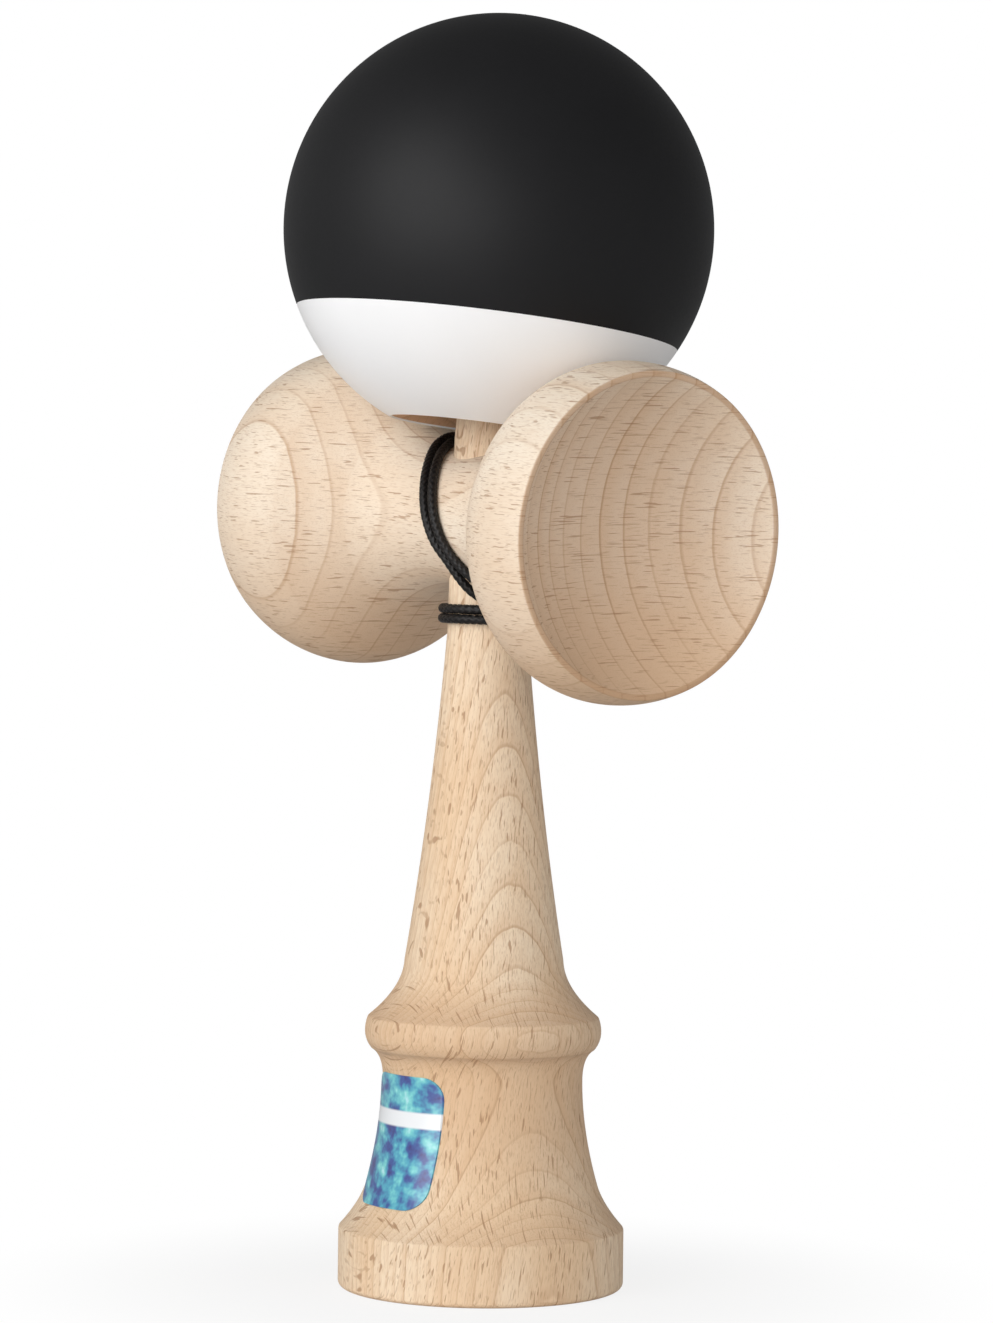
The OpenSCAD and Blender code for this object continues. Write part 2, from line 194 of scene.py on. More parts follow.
def smoothShaded(data, sharp=34):
    data.polygons.foreach_set("use_smooth", [True] * len(data.polygons))
    data.set_sharp_from_angle(angle=math.radians(sharp))
    return data


def plainMesh(piece):
    # keep what the modifiers make as the piece's own mesh
    bpy.context.view_layer.update()
    done = piece.evaluated_get(bpy.context.evaluated_depsgraph_get())
    data = bpy.data.meshes.new_from_object(done)
    data.name = piece.name
    piece.modifiers.clear()
    piece.data = data
    return data


# a turned mesh from an outline that starts and ends on the axis, or closes on itself
def turned(name, outline, turns, place=None, closed=False):
    mesh = bmesh.new()
    rings = []
    for r, h in outline:
        if r < tiny:
            rings.append([mesh.verts.new((0, 0, h * mm))] * turns)
            continue
        ring = []
        for k in range(turns):
            a = 2 * math.pi * k / turns
            ring.append(mesh.verts.new((r * mm * math.cos(a), r * mm * math.sin(a), h * mm)))
        rings.append(ring)
    pairs = list(zip(rings, rings[1:]))
    if closed:
        pairs.append((rings[-1], rings[0]))
    for low, high in pairs:
        for k in range(turns):
            corners = [low[k], low[(k + 1) % turns], high[(k + 1) % turns], high[k]]
            mesh.faces.new(list(dict.fromkeys(corners)))
    bmesh.ops.recalc_face_normals(mesh, faces=mesh.faces)
    if place is not None:
        mesh.transform(place)
    data = bpy.data.meshes.new(name)
    mesh.to_mesh(data)
    mesh.free()
    return newPiece(name, smoothShaded(data))


def drill(r1, r2, length, place, turns=96):
    return turned("drill", [(0, 0), (r1, 0), (r2, length), (0, length)], turns, place)


def bored(piece, drills):
    for cutter in drills:
        modifier = piece.modifiers.new("bore", "BOOLEAN")
        modifier.operation = "DIFFERENCE"
        modifier.solver = "EXACT"
        modifier.object = cutter
    smoothShaded(plainMesh(piece))
    for cutter in drills:
        bpy.data.objects.remove(cutter)


def moved(x, y, z):
    return Matrix.Translation(Vector((x, y, z)) * mm)


# the ball in millimetres, and where it and the crosspiece stand
ball = dict(
    r=30, paint=0.3, line=13.8, spikeLen=10.4, holeR=10.2, mouthR=12, lean=math.radians(6.3),
    leanDir=math.radians(57), shift=-1.4, seatGap=0.3, tipRoom=7.8, topHoleR=1.9, sinkR=4.3, beadR=2.75,
    filmGap=0.02, coreSteps=90, filmSteps=80, turns=256)
crossPlace = moved(0, 0, crossPiece["z"]) @ Matrix.Rotation(math.pi / 2 + crossPiece["lean"], 4, "Y")
ballReach = ball["r"] + crossPiece["shoulderR"] + ball["seatGap"]
ballRise = arcs["shoulder"][0] + math.sqrt(ballReach ** 2 - arcs["shoulder"][1] ** 2)
ballC = Vector((ballRise * math.sin(crossPiece["lean"]), ball["shift"],
                crossPiece["z"] + ballRise * math.cos(crossPiece["lean"])))
ballPlace = moved(*ballC) @ Matrix.Rotation(ball["leanDir"], 4, "Z") @ Matrix.Rotation(ball["lean"], 4, "Y")
ballAxis = (ballPlace.to_3x3() @ Vector((0, 0, 1))).normalized()
tipZ = ballC.z + ball["spikeLen"]
# heights along the ball's own axis, from its middle
mouthW = -math.sqrt(ball["r"] ** 2 - ball["mouthR"] ** 2)
lineW = mouthW + ball["line"]
holeTop = ball["spikeLen"] / math.cos(ball["lean"]) + ball["tipRoom"]
beadW = holeTop - math.sqrt((ball["beadR"] + ball["seatGap"]) ** 2 - ball["topHoleR"] ** 2)

# camera of the photograph: the image is taken as 993 x 1323
view = dict(place=(435.2, -316.2, 86.8), azimuth=54.0, yaw=0.0024, pitch=0.0015, roll=0.0114, focal=3832,
            height=1323, sensor=36)


def photoCamera(v):
    level = math.cos(v["pitch"])
    fore = Vector((math.sin(v["yaw"]) * level, math.cos(v["yaw"]) * level, math.sin(v["pitch"])))
    right = Vector((math.cos(v["yaw"]), -math.sin(v["yaw"]), 0))
    up = right.cross(fore)
    turnedRight = math.cos(v["roll"]) * right + math.sin(v["roll"]) * up
    turnedUp = -math.sin(v["roll"]) * right + math.cos(v["roll"]) * up
    basis = Matrix((turnedRight, turnedUp, -fore)).transposed().to_4x4()
    data = bpy.data.cameras.new("photoCamera")
    data.sensor_fit = "VERTICAL"
    data.sensor_height = v["sensor"]
    data.lens = v["sensor"] * v["focal"] / v["height"]
    data.clip_start = 0.01
    camera = newPiece("photoCamera", data)
    camera.matrix_world = moved(*v["place"]) @ Matrix.Rotation(math.radians(v["azimuth"]), 4, "Z") @ basis
    bpy.context.scene.camera = camera


photoCamera(view)
print("camera set")


# small helpers for node trees
def link(tree, source, target):
    tree.links.new(source, target)


def addNode(tree, kind, **settings):
    node = tree.nodes.new(kind)
    for name, value in settings.items():
        setattr(node, name, value)
    return node


def feed(tree, socket, value):
    # a number or a colour is set on the socket, and anything else is linked to it
    if isinstance(value, (int, float)):
        socket.default_value = value
    elif isinstance(value, tuple):
        socket.default_value = (*value, 1)
    else:
        link(tree, value, socket)


def maths(tree, operation, *values):
    node = addNode(tree, "ShaderNodeMath", operation=operation)
    for socket, value in zip(node.inputs, values):
        feed(tree, socket, value)
    return node.outputs[0]


def times(tree, a, b):
    return maths(tree, "MULTIPLY", a, b)


def plus(tree, a, b):
    return maths(tree, "ADD", a, b)


def ranged(tree, value, low, high, toLow=0, toHigh=1, kind="LINEAR"):
    node = addNode(tree, "ShaderNodeMapRange", interpolation_type=kind)
    link(tree, value, node.inputs["Value"])
    for name, number in (("From Min", low), ("From Max", high), ("To Min", toLow), ("To Max", toHigh)):
        node.inputs[name].default_value = number
    return node.outputs[0]


def smooth(tree, value, low, high):
    return ranged(tree, value, low, high, kind="SMOOTHSTEP")


def noise(tree, vector, scale, detail=2.0, rough=0.5):
    node = addNode(tree, "ShaderNodeTexNoise")
    link(tree, vector, node.inputs["Vector"])
    node.inputs["Scale"].default_value = scale
    node.inputs["Detail"].default_value = detail
    node.inputs["Roughness"].default_value = rough
    return node.outputs["Fac"]


def mixed(tree, factor, a, b):
    node = addNode(tree, "ShaderNodeMix", data_type="RGBA")
    for socket, value in zip((node.inputs["Factor"], node.inputs[6], node.inputs[7]), (factor, a, b)):
        feed(tree, socket, value)
    return node.outputs[2]


def dotted(tree, vector, direction):
    node = addNode(tree, "ShaderNodeVectorMath", operation="DOT_PRODUCT")
    link(tree, vector, node.inputs[0])
    node.inputs[1].default_value = direction
    return node.outputs["Value"]


def lengthOf(tree, vector):
    node = addNode(tree, "ShaderNodeVectorMath", operation="LENGTH")
    link(tree, vector, node.inputs[0])
    return node.outputs["Value"]


def combined(tree, *values):
    node = addNode(tree, "ShaderNodeCombineXYZ")
    for socket, value in zip(node.inputs, values):
        feed(tree, socket, value)
    return node.outputs[0]


def coords(tree, kind="Object"):
    return addNode(tree, "ShaderNodeTexCoord").outputs[kind]


def newMaterial(name, colour):
    material = bpy.data.materials.new(name)
    material.use_nodes = True
    material.diffuse_color = (*colour, 1)
    shader = material.node_tree.nodes["Principled BSDF"]
    shader.inputs["Base Color"].default_value = (*colour, 1)
    return material, material.node_tree, shader


def bumped(tree, shader, height, strength, distance):
    node = addNode(tree, "ShaderNodeBump")
    node.inputs["Strength"].default_value = strength
    node.inputs["Distance"].default_value = distance
    link(tree, height, node.inputs["Height"])
    link(tree, node.outputs[0], shader.inputs["Normal"])


# the string in millimetres; strands, pitch and depth are the braid's
cordSize = dict(
    d=1.2, gap=0.15, ballGap=0.2, topBendR=4.2, room=0.35, knotR=1.5, knotFlat=0.6, turnStep=2.0,
    wrapStep=1.38, wrapZ=94.9, ringStep=0.16, braidPitch=0.95, braidDepth=0.17, strands=5, sides=30)
# turns round the crosspiece, by where they pass along it, then round the stick, in degrees
turn = dict(top=-9.3, front=0.3, under=8.7, back=-2.0, sway=2, start=350, end=845, middle=630,
            wrapStart=-30, wrapEnd=738, wrapMiddle=270, step=15)
# from the knot to the way out, and how far each join of two stretches reaches
lead = dict(knotAt=-2.4, step=1.9, points=6, out=0.3, bendR=2.7, quarter=0.55, leave=3, first=4, cross=3,
            wrap=4.5, hand=5)
handOver = Vector((4.5, 11.5, 99))
handUp = Vector((0, 0.3, 1)).normalized()
runPoints = [(4.5, 13.4, 105), (4.5, 15.5, 112), (4.5, 18, 119), (4.3, 21, 125)]
# up the ball's back: angles from the top, and from +X towards +Y
runTurns = [(127, 90), (112, 91), (98, 93.5), (85, 95), (69, 97), (54, 100.5), (41, 105.5), (29.5, 111.5),
            (20, 116.5)]
topWay = math.radians(144)
topSteps, downSteps = 5, 7
lay = cordSize["d"] / 2 + cordSize["gap"]
runR = ball["r"] + cordSize["ballGap"] + cordSize["d"] / 2
bendR = cordSize["topBendR"]
bendW = math.sqrt((runR - bendR) ** 2 - bendR ** 2)
bendEnd = math.degrees(math.acos(bendR / (runR - bendR)))
flatWay = Vector((math.cos(topWay), math.sin(topWay), 0))
backWay = (flatWay - flatWay.dot(ballAxis) * ballAxis).normalized()
boreR = cordSize["d"] / 2 + cordSize["room"]
knotFlat = cordSize["knotFlat"] * cordSize["knotR"]
beadKnotW = beadW - ball["beadR"] - cordSize["knotR"]


def swing(a, b, c, d, n=8):
    # a curve from a to d that b and c pull on
    points = []
    for i in range(n + 1):
        t = i / n
        u = 1 - t
        points.append(u ** 3 * a + 3 * u * u * t * b + 3 * u * t * t * c + t ** 3 * d)
    return points


def onCross(s, y, h):
    lean = crossPiece["lean"]
    return Vector((s * math.cos(lean) + h * math.sin(lean), y,
                   crossPiece["z"] - s * math.sin(lean) + h * math.cos(lean)))


def onAxis(w):
    return ballC + w * ballAxis


def onBall(fromTop, fromX):
    a, b = math.radians(fromTop), math.radians(fromX)
    return ballC + runR * Vector((math.sin(a) * math.cos(b), math.sin(a) * math.sin(b), math.cos(a)))


def overTop(degrees):
    a = math.radians(degrees)
    return onAxis(bendW + bendR * math.sin(a)) + bendR * (1 + math.cos(a)) * backWay


def turnAt(degrees):
    a = math.radians(degrees)
    middle = (turn["top"] + turn["front"] + turn["under"] + turn["back"]) / 4
    twice = (turn["top"] + turn["under"] - turn["front"] - turn["back"]) / 4
    topUnder = (turn["top"] - turn["under"]) / 2
    frontBack = (turn["front"] - turn["back"]) / 2
    s = middle + topUnder * math.cos(a) + frontBack * math.sin(a) + twice * math.cos(2 * a)
    s += turn["sway"] * math.sin(2 * a) * (1 + math.sin(a)) / 2
    s -= cordSize["turnStep"] * (degrees - turn["middle"]) / 360
    q = waistAt(s) + lay
    return onCross(s, -q * math.sin(a), q * math.cos(a))


def wrapAt(degrees):
    a = math.radians(degrees)
    z = cordSize["wrapZ"] - cordSize["wrapStep"] * (degrees - turn["wrapMiddle"]) / 360
    q = seatAt(z) + lay
    return Vector((q * math.cos(a), q * math.sin(a), z))


def stringRoute():
    d = cordSize["d"]
    inside = [Vector((0, lead["knotAt"] + knotFlat + k * lead["step"], crossPiece["z"]))
              for k in range(lead["points"])]
    turns = [turnAt(a) for a in range(turn["start"], turn["end"] + 1, turn["step"])]
    wraps = [wrapAt(a) for a in range(turn["wrapStart"], turn["wrapEnd"] + 1, turn["step"])]
    turnsIn, turnsOut = (turns[1] - turns[0]).normalized(), (turns[-1] - turns[-2]).normalized()
    wrapsIn, wrapsOut = (wraps[1] - wraps[0]).normalized(), (wraps[-1] - wraps[-2]).normalized()
    # out of the hole, a quarter bend towards the first turn, then the turns, the wraps and the way up
    start = Vector((0, crossPiece["waistR"] + lead["out"], crossPiece["z"]))
    leave = start + Vector((0, d, 0))
    leaveSide = Vector((turns[0].x - leave.x, 0, turns[0].z - leave.z)).normalized()
    leaveOut, leaveUp = Vector((0, lead["bendR"], 0)), lead["bendR"] * leaveSide
    loop = leave + leaveOut + leaveUp
    handIn = handOver - d * handUp
    quarterBend = swing(leave, leave + lead["quarter"] * leaveOut, loop - lead["quarter"] * leaveUp, loop,
                        n=5)
    toTurns = swing(loop, loop + lead["leave"] * leaveSide, turns[0] - lead["first"] * turnsIn, turns[0])
    toWraps = swing(turns[-1], turns[-1] + lead["cross"] * turnsOut, wraps[0] - lead["cross"] * wrapsIn,
                    wraps[0], n=6)
    toHand = swing(wraps[-1], wraps[-1] + lead["wrap"] * wrapsOut, handIn - lead["hand"] * handUp, handIn)
    winding = [start] + quarterBend[:-1] + toTurns[:-1] + turns + toWraps[1:-1] + wraps[:-1] + toHand
    # up behind the ball, over its top and down its hole to the bead's knot
    run = [handOver, handOver + d * handUp] + [Vector(p) for p in runPoints]
    run += [onBall(*angles) for angles in runTurns]
    run += [overTop(bendEnd + (180 - bendEnd) * k / topSteps) for k in range(topSteps + 1)]
    low = beadKnotW + knotFlat
    down = [onAxis(bendW + (low - bendW) * k / downSteps) for k in range(1, downSteps + 1)]
    return inside + winding + run + down


def polyline(name, points):
    data = bpy.data.meshes.new(name)
    data.from_pydata([tuple(p * mm) for p in points], [(i, i + 1) for i in range(len(points) - 1)], [])
    return newPiece(name, data)


braidLook = dict(
    # the deep colour is painted shade for the grooves between strands, and the lighter thread colour is
    # painted glints along the threads
    plain=(0.017, 0.016, 0.016), deep=(0.001, 0.0009, 0.0009), high=(0.015, 0.0127, 0.012),
    grooveShadeCut=(0.4, 1.0), paintedGlint=(0.024, 0.0205, 0.019), paintedGlintShare=0.3, aroundRate=60, alongRate=2500,
    rough=0.42, shine=0.28, bump=0.3, bumpDepth=0.00003)


def braidMaterial(look):
    # dark threads, with painted shade in the grooves between strands and painted glints flecked along the
    # threads
    material, tree, shader = newMaterial("blackBraid", look["plain"])

    def attribute(name):
        return addNode(tree, "ShaderNodeAttribute", attribute_name=name).outputs["Fac"]

    around = times(tree, attribute("around"), look["aroundRate"])
    along = times(tree, attribute("along"), look["alongRate"])
    threads = noise(tree, combined(tree, around, along, 0), 1.0, 1.0)
    # painted shade darkens the grooves between strands, then painted glints add lighter flecks along the
    # threads
    shade = mixed(tree, smooth(tree, attribute("raised"), *look["grooveShadeCut"]), look["deep"], look["high"])
    shade = mixed(tree, times(tree, threads, look["paintedGlintShare"]), shade, look["paintedGlint"])
    link(tree, shade, shader.inputs["Base Color"])
    shader.inputs["Roughness"].default_value = look["rough"]
    shader.inputs["Specular IOR Level"].default_value = look["shine"]
    bumped(tree, shader, threads, look["bump"], look["bumpDepth"])
    return material


# a braided cord along a line of points, as a node tree
def braidTree(lineSteps=16, middleHeight=0.55):
    tree = bpy.data.node_groups.new("braidedCord", "GeometryNodeTree")
    face = tree.interface
    face.new_socket("Geometry", in_out="INPUT", socket_type="NodeSocketGeometry")
    for name in ("Radius", "Ring Step", "Braid Depth", "Braid Pitch", "Strands"):
        face.new_socket(name, in_out="INPUT", socket_type="NodeSocketFloat")
    face.new_socket("Sides", in_out="INPUT", socket_type="NodeSocketInt")
    face.new_socket("Finish", in_out="INPUT", socket_type="NodeSocketMaterial")
    face.new_socket("Geometry", in_out="OUTPUT", socket_type="NodeSocketGeometry")
    given = addNode(tree, "NodeGroupInput").outputs
    result = addNode(tree, "NodeGroupOutput")

    def stored(geometry, name, value):
        node = addNode(tree, "GeometryNodeStoreNamedAttribute", data_type="FLOAT", domain="POINT")
        node.inputs["Name"].default_value = name
        link(tree, geometry, node.inputs["Geometry"])
        link(tree, value, node.inputs["Value"])
        return node.outputs[0]

    def named(name):
        node = addNode(tree, "GeometryNodeInputNamedAttribute", data_type="FLOAT")
        node.inputs["Name"].default_value = name
        return node.outputs["Attribute"]

    def alongSpline(measure):
        return addNode(tree, "GeometryNodeSplineParameter").outputs[measure]

    line = addNode(tree, "GeometryNodeMeshToCurve")
    link(tree, given["Geometry"], line.inputs["Mesh"])
    eased = addNode(tree, "GeometryNodeCurveSplineType", spline_type="CATMULL_ROM")
    link(tree, line.outputs[0], eased.inputs["Curve"])
    fineLine = addNode(tree, "GeometryNodeSetSplineResolution")
    link(tree, eased.outputs[0], fineLine.inputs["Geometry"])
    fineLine.inputs["Resolution"].default_value = lineSteps
    rings = addNode(tree, "GeometryNodeResampleCurve", mode="LENGTH")
    link(tree, fineLine.outputs[0], rings.inputs["Curve"])
    link(tree, given["Ring Step"], rings.inputs["Length"])
    path = stored(rings.outputs[0], "along", alongSpline("Length"))
    circle = addNode(tree, "GeometryNodeCurvePrimitiveCircle")
    link(tree, given["Sides"], circle.inputs["Resolution"])
    link(tree, given["Radius"], circle.inputs["Radius"])
    profile = stored(circle.outputs[0], "around", alongSpline("Factor"))
    tube = addNode(tree, "GeometryNodeCurveToMesh")
    link(tree, path, tube.inputs["Curve"])
    link(tree, profile, tube.inputs["Profile Curve"])
    tube.inputs["Fill Caps"].default_value = True
    # two families of strands pass over and under each other
    across = times(tree, named("around"), given["Strands"])
    onward = maths(tree, "DIVIDE", named("along"), given["Braid Pitch"])
    one = maths(tree, "SINE", times(tree, plus(tree, across, onward), math.pi))
    two = maths(tree, "SINE", times(tree, maths(tree, "SUBTRACT", across, onward), math.pi))
    over = maths(tree, "GREATER_THAN", times(tree, one, two), 0)
    under = maths(tree, "SUBTRACT", 1, over)
    height = plus(tree, times(tree, maths(tree, "ABSOLUTE", one), over),
                  times(tree, maths(tree, "ABSOLUTE", two), under))
    marked = stored(tube.outputs[0], "raised", height)
    lift = addNode(tree, "ShaderNodeVectorMath", operation="SCALE")
    link(tree, addNode(tree, "GeometryNodeInputNormal").outputs[0], lift.inputs[0])
    shift = times(tree, maths(tree, "SUBTRACT", named("raised"), middleHeight), given["Braid Depth"])
    link(tree, shift, lift.inputs["Scale"])
    placed = addNode(tree, "GeometryNodeSetPosition")
    link(tree, marked, placed.inputs["Geometry"])
    link(tree, lift.outputs[0], placed.inputs["Offset"])
    shaded = addNode(tree, "GeometryNodeSetShadeSmooth")
    link(tree, placed.outputs[0], shaded.inputs["Geometry"])
    whole = addNode(tree, "GeometryNodeRealizeInstances")
    link(tree, shaded.outputs[0], whole.inputs["Geometry"])
    finish = addNode(tree, "GeometryNodeSetMaterial")
    link(tree, whole.outputs[0], finish.inputs["Geometry"])
    link(tree, given["Finish"], finish.inputs["Material"])
    link(tree, finish.outputs[0], result.inputs[0])
    return tree


def grown(piece, tree, settings):
    # run a node tree on a piece with its inputs set
    modifier = piece.modifiers.new(tree.name, "NODES")
    modifier.node_group = tree
    for item in tree.interface.items_tree:
        if item.item_type == "SOCKET" and item.in_out == "INPUT" and item.name in settings:
            modifier[item.identifier] = settings[item.name]
    plainMesh(piece)
    return piece


route = stringRoute()
cord = grown(polyline("braidedString", route), braidTree(), {
    "Radius": cordSize["d"] / 2 * mm, "Ring Step": cordSize["ringStep"] * mm, "Sides": cordSize["sides"],
    "Braid Depth": cordSize["braidDepth"] * mm, "Braid Pitch": cordSize["braidPitch"] * mm,
    "Strands": float(cordSize["strands"]), "Finish": braidMaterial(braidLook)})
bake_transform(cord)
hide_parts("string_in_ken", "string_winding", "string_run", "string_in_tama")

# pale beech; rate is how fast a mark changes across the layers, along them and along the fibre, per mm
beechMarks = dict(
    wander=dict(rate=(0.16, 0.03, 0.012), detail=1.0, rough=0.5),
    ripple=dict(rate=(0.5, 0.5, 0.1), detail=1.0, rough=0.5),
    broad=dict(rate=(0.09, 0.09, 0.03), detail=2.0, rough=0.5, cut=(0.35, 0.7)),
    ray=dict(rate=(0.17, 3.9, 0.42), detail=1.0, rough=0.4, cut=(0.64, 0.7)),
    fleck=dict(rate=(0.3, 6.5, 0.85), detail=1.0, rough=0.4, cut=(0.62, 0.7)),
    fine=dict(rate=(1.4, 6.5, 0.45), detail=2.0, rough=0.6, cut=(0.4, 0.75)),
    pore=dict(rate=(7.0, 7.0, 0.5), detail=0.0, rough=0.5, cut=(0.58, 0.74)))
# shares of one growth layer, and the weight of its faintest ring
beechRing = dict(late=(0.25, 0.9), lateEnd=0.95, edge=(0.86, 0.95), edgeEnd=0.96, least=0.4)
beechLook = dict(
    pale=(0.82, 0.70, 0.565), warm=(0.785, 0.635, 0.485), late=(0.66, 0.46, 0.30), ring=(0.48, 0.29, 0.165),
    ray=(0.36, 0.19, 0.095), end=(0.60, 0.415, 0.275), shadeBand=(0.65, 0.42, 0.245), burnt=(0.42, 0.22, 0.1),
    pith=100, wander=2.2, ripple=0.15, phase=0.07, ringStep=3.5, lateDark=0.6, ringDark=0.85, rayDark=0.6,
    fleckDark=0.34, poreDark=0.2, fineDark=0.25, sideRings=0.5, endDark=0.5, endCut=(0.3, 0.95),
    # painted shade: the band set on this line, with its colour above, warms and darkens the wood where it
    # sits in shade; by default it lies along the crosspiece's lower side
    shadeBandAlong="t", shadeBandAt=-32, shadeBandHalf=36, shadeBandCore=0.2, shadeBandDark=0.75,
    rimAt=0, rimEdge=(0.28, 0.06), rimDark=0.42, middle=(0, 0, 0),
    rough=(0.55, 0.7), shine=0.3, fineBump=0.4, bump=0.25, bumpDepth=0.00004)


def beech(name, w):
    material, tree, shader = newMaterial(name, w["pale"])
    inMm = addNode(tree, "ShaderNodeVectorMath", operation="SCALE")
    link(tree, coords(tree), inMm.inputs[0])
    inMm.inputs["Scale"].default_value = 1 / mm
    fromMiddle = addNode(tree, "ShaderNodeVectorMath", operation="SUBTRACT")
    link(tree, inMm.outputs[0], fromMiddle.inputs[0])
    fromMiddle.inputs[1].default_value = w["middle"]
    point = fromMiddle.outputs[0]
    fibre = Vector(w["fibre"]).normalized()
    layer = Vector(w["layer"])
    layer = (layer - layer.dot(fibre) * fibre).normalized()
    f = dotted(tree, point, fibre)
    n = dotted(tree, point, layer)
    t = dotted(tree, point, fibre.cross(layer))

    def mark(kind):
        m = beechMarks[kind]
        rates = [times(tree, way, rate) for way, rate in zip((n, t, f), m["rate"])]
        return noise(tree, combined(tree, *rates), 1.0, m["detail"], m["rough"])

    def cut(kind, value):
        return smooth(tree, value, *beechMarks[kind]["cut"])

    def stained(colour, where, dark, tone):
        return mixed(tree, times(tree, where, dark), colour, tone)

    # growth layers curve about a far pith and are not all as wide
    far = lengthOf(tree, combined(tree, plus(tree, n, w["pith"]), t, 0))
    depth = plus(tree, far, times(tree, mark("wander"), w["wander"]))
    depth = plus(tree, depth, times(tree, mark("ripple"), w["ripple"]))
    count = plus(tree, maths(tree, "DIVIDE", depth, w["ringStep"]), w["phase"])
    phase = maths(tree, "FRACT", count)
    lateWood = times(tree, smooth(tree, phase, *beechRing["late"]),
                     smooth(tree, phase, 1, beechRing["lateEnd"]))
    ringEdge = times(tree, smooth(tree, phase, *beechRing["edge"]),
                     smooth(tree, phase, 1, beechRing["edgeEnd"]))
    perRing = addNode(tree, "ShaderNodeTexWhiteNoise", noise_dimensions="1D")
    link(tree, maths(tree, "FLOOR", count), perRing.inputs["W"])
    weight = plus(tree, times(tree, perRing.outputs["Value"], 1 - beechRing["least"]), beechRing["least"])
    # rays and flecks are thin across, short along the fibre and longer into the wood
    fine = mark("fine")
    ray, fleck, pore = [cut(kind, mark(kind)) for kind in ("ray", "fleck", "pore")]
    colour = mixed(tree, cut("broad", mark("broad")), w["pale"], w["warm"])
    # painted shade: a warmer, darker band where the wood sits in shade, such as the stick's neck and the
    # crosspiece's lower side; and wood cut across the fibre, which is darker
    along = dict(f=f, t=t)[w["shadeBandAlong"]]
    offShadeBand = maths(tree, "ABSOLUTE", maths(tree, "SUBTRACT", along, w["shadeBandAt"]))
    shadeBand = smooth(tree, offShadeBand, w["shadeBandHalf"], w["shadeBandCore"] * w["shadeBandHalf"])
    colour = stained(colour, shadeBand, w["shadeBandDark"], w["shadeBand"])
    facing = maths(tree, "ABSOLUTE", dotted(tree, coords(tree, "Normal"), fibre))
    across = smooth(tree, facing, *w["endCut"])
    colour = stained(colour, across, w["endDark"], w["end"])
    # rings are plainest where the wood is cut across
    share = plus(tree, times(tree, across, 1 - w["sideRings"]), w["sideRings"])
    weight = times(tree, weight, share)
    colour = stained(colour, times(tree, lateWood, weight), w["lateDark"], w["late"])
    colour = stained(colour, times(tree, ringEdge, weight), w["ringDark"], w["ring"])
    colour = stained(colour, cut("fine", fine), w["fineDark"], w["late"])
    colour = stained(colour, pore, w["poreDark"], w["ring"])
    colour = stained(colour, fleck, w["fleckDark"], w["ray"])
    colour = stained(colour, ray, w["rayDark"], w["ray"])
    if w["rimAt"]:  # a burnished edge
        out = maths(tree, "ABSOLUTE", dotted(tree, point, w["rimWay"]))
        rim = smooth(tree, out, *(w["rimAt"] - edge for edge in w["rimEdge"]))
        colour = stained(colour, rim, w["rimDark"], w["burnt"])
    link(tree, colour, shader.inputs["Base Color"])
    link(tree, ranged(tree, fine, 0, 1, *w["rough"]), shader.inputs["Roughness"])
    shader.inputs["Specular IOR Level"].default_value = w["shine"]
    grain = maths(tree, "SUBTRACT", times(tree, fine, w["fineBump"]), plus(tree, ray, pore))
    bumped(tree, shader, grain, w["bump"], w["bumpDepth"])
    return material


# the turned stick
stickWood = beech("stickBeech", dict(
    beechLook, fibre=(0.08, 0.11, 1), layer=(0.996, -0.087, 0), pale=(0.82, 0.665, 0.49),
    warm=(0.765, 0.565, 0.375), late=(0.61, 0.385, 0.215), ringStep=1.15, wander=1.0, ripple=0.2,
    lateDark=0.36, ringDark=0.62, pith=60, rayDark=0.68, fineDark=0.36, poreDark=0.32, sideRings=1,
    # painted shade band across the neck and under the collar, where the stick sits in shade
    shadeBandAlong="f", shadeBandAt=29, shadeBandHalf=17, shadeBandDark=0.6))
stickPiece = turned("turnedStick", stickOutline(stick, tipZ), stick["turns"])
holeLen = stick["seatR"] + stick["boreSpare"]
sideways = moved(0, 0, crossPiece["z"]) @ Matrix.Rotation(-math.pi / 2, 4, "X")
otherWay = moved(0, 0, crossPiece["z"]) @ Matrix.Rotation(math.pi / 2, 4, "X")
knotRoom = cordSize["knotR"] + cordSize["room"]
bored(stickPiece, [drill(boreR, boreR, holeLen, sideways), drill(knotRoom, knotRoom, holeLen, otherWay)])
stickPiece.data.materials.clear()
stickPiece.data.materials.append(stickWood)
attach(stickPiece, "ken")
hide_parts("ken")

# the crosspiece, bored along the stick's taper
crossWay = (math.cos(crossPiece["lean"]), 0, -math.sin(crossPiece["lean"]))
crossWood = beech("crossBeech", dict(
    beechLook, fibre=(crossWay[0], 0.111, crossWay[2]), layer=(0, 1, 0.05), middle=(0, 0, crossPiece["z"]),
    rimAt=crossPiece["half"], rimWay=crossWay, pale=(0.84, 0.735, 0.605), warm=(0.80, 0.665, 0.52),
    end=(0.60, 0.38, 0.23), pith=-200, phase=0.84, endDark=0.45))
crossTurned = turned("turnedCrosspiece", crossOutline(crossPiece, arcs), crossPiece["turns"], crossPlace)
through = crossPiece["waistR"] + crossPiece["boreSpare"]
low, high = crossPiece["z"] - through, crossPiece["z"] + through
lowR, highR = seatAt(low) + crossPiece["boreGap"], seatAt(high) + crossPiece["boreGap"]
taper = drill(lowR, highR, 2 * through, moved(0, 0, low))
bored(crossTurned, [taper, drill(boreR, boreR, through, sideways)])
crossTurned.data.materials.clear()
crossTurned.data.materials.append(crossWood)
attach(crossTurned, "ken")
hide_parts("sarado")
print("stick and crosspiece turned")


